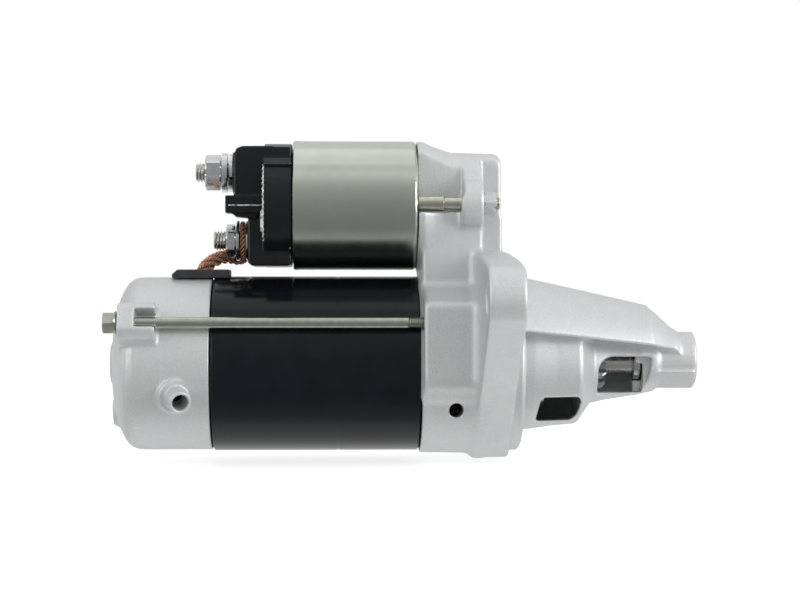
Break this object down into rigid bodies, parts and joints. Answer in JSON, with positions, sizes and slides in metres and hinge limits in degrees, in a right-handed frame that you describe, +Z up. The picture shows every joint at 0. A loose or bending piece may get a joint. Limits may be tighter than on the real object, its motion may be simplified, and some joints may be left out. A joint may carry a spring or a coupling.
{
  "type": "starter motor",
  "caption": "Coaxial planetary-reduction starter motor with a top-mounted solenoid, two-eared mounting flange and a windowed nose around the drive pinion.",
  "frame": {"origin": "on the motor axis, in the mounting flange's engine-side face", "axes": "+X along the motor axis towards the pinion, +Z up to the solenoid, +Y completes a right-handed frame"},
  "size_m": [0.2394, 0.171, 0.1316],
  "materials": {
    "cast_aluminium": "bead-blasted casting",
    "black_paint": "gloss",
    "zinc_plate": "passivated zinc",
    "ground_steel": "ground",
    "gear_steel": "hardened and oiled",
    "soft_iron": "plain",
    "copper": "plain",
    "sintered_bronze": "porous",
    "black_plastic": "moulded",
    "black_rubber": "matt",
    "ferrite": "sintered",
    "brush_carbon": "pressed",
    "spring_steel": "drawn wire"
  },
  "bodies": {
    "housing": {"drive_end_housing": "cast_aluminium", "nose_bush": "sintered_bronze", "rear_bush": "sintered_bronze", "yoke_tube": "black_paint", "magnet_1": "ferrite", "magnet_2": "ferrite", "magnet_3": "ferrite", "magnet_4": "ferrite", "rear_cover": "cast_aluminium", "lead_grommet": "black_rubber", "through_bolt_1": "zinc_plate", "through_bolt_2": "zinc_plate", "brush_holder": "zinc_plate", "brush_1": "brush_carbon", "brush_2": "brush_carbon", "brush_3": "brush_carbon", "brush_4": "brush_carbon", "brush_spring_1": "spring_steel", "brush_spring_2": "spring_steel", "brush_spring_3": "spring_steel", "brush_spring_4": "spring_steel", "gear_cover_plate": "soft_iron", "ring_gear": "gear_steel", "centre_bracket": "soft_iron", "lever_pin": "ground_steel", "solenoid_case": "zinc_plate", "solenoid_coil": "copper", "solenoid_core": "soft_iron", "plunger_spring": "spring_steel", "solenoid_cap": "black_plastic", "spade_terminal": "copper", "battery_stud": "copper", "battery_nut": "zinc_plate", "battery_spring_washer": "zinc_plate", "battery_washer": "zinc_plate", "motor_stud": "copper", "motor_nut": "zinc_plate", "motor_washer": "zinc_plate", "motor_lug_washer": "zinc_plate", "motor_lead": "copper", "solenoid_stud_1": "zinc_plate", "solenoid_stud_2": "zinc_plate", "solenoid_nut_1": "zinc_plate", "solenoid_nut_2": "zinc_plate"},
    "armature": {"armature_shaft": "ground_steel", "armature_core": "soft_iron", "armature_winding": "copper", "commutator": "copper"},
    "carrier": {"output_shaft": "ground_steel", "pinion_stop": "ground_steel"},
    "planet_1": {"planet_gear_1": "gear_steel"},
    "planet_2": {"planet_gear_2": "gear_steel"},
    "planet_3": {"planet_gear_3": "gear_steel"},
    "clutch": {"clutch_drive": "ground_steel"},
    "pinion_wheel": {"pinion": "gear_steel"},
    "plunger_body": {"plunger": "soft_iron", "contact_rod": "soft_iron", "contact_disc": "copper"},
    "lever": {"shift_lever": "black_plastic"}
  },
  "joints": [
    {"name": "armature_spin", "type": "hinge", "parent": "housing", "child": "armature", "pos_m": [-0.1, 0, 0], "axis": [1, 0, 0], "continuous": true},
    {"name": "output_spin", "type": "hinge", "parent": "housing", "child": "carrier", "pos_m": [0.02, 0, 0], "axis": [1, 0, 0], "continuous": true},
    {"name": "planet_1_spin", "type": "hinge", "parent": "carrier", "child": "planet_1", "pos_m": [-0.0468, 0, 0.015], "axis": [1, 0, 0], "continuous": true},
    {"name": "planet_2_spin", "type": "hinge", "parent": "carrier", "child": "planet_2", "pos_m": [-0.0468, -0.01299, -0.0075], "axis": [1, 0, 0], "continuous": true},
    {"name": "planet_3_spin", "type": "hinge", "parent": "carrier", "child": "planet_3", "pos_m": [-0.0468, 0.01299, -0.0075], "axis": [1, 0, 0], "continuous": true},
    {"name": "clutch_slide", "type": "slide", "parent": "carrier", "child": "clutch", "axis": [1, 0, 0], "range_m": [0, 0.01141]},
    {"name": "pinion_overrun", "type": "hinge", "parent": "clutch", "child": "pinion_wheel", "pos_m": [0.03, 0, 0], "axis": [1, 0, 0], "continuous": true},
    {"name": "plunger_slide", "type": "slide", "parent": "housing", "child": "plunger_body", "axis": [-1, 0, 0], "range_m": [0, 0.008], "stiffness_N_per_m": 1500, "springref_m": -0.02, "deforming": ["plunger_spring"]},
    {"name": "lever_swing", "type": "hinge", "parent": "housing", "child": "lever", "pos_m": [-0.0203, 0, 0.038], "axis": [0, -1, 0], "range_deg": [0, 17.2]}
  ],
  "couplings": [
    {"joint": "output_spin", "follows": "armature_spin", "ratio": 0.2},
    {"joint": "planet_1_spin", "follows": "armature_spin", "ratio": -0.53333},
    {"joint": "planet_2_spin", "follows": "armature_spin", "ratio": -0.53333},
    {"joint": "planet_3_spin", "follows": "armature_spin", "ratio": -0.53333},
    {"joint": "clutch_slide", "follows": "plunger_slide", "ratio": 1.425},
    {"joint": "lever_swing", "follows": "plunger_slide", "rad_per_m": 37.5}
  ]
}
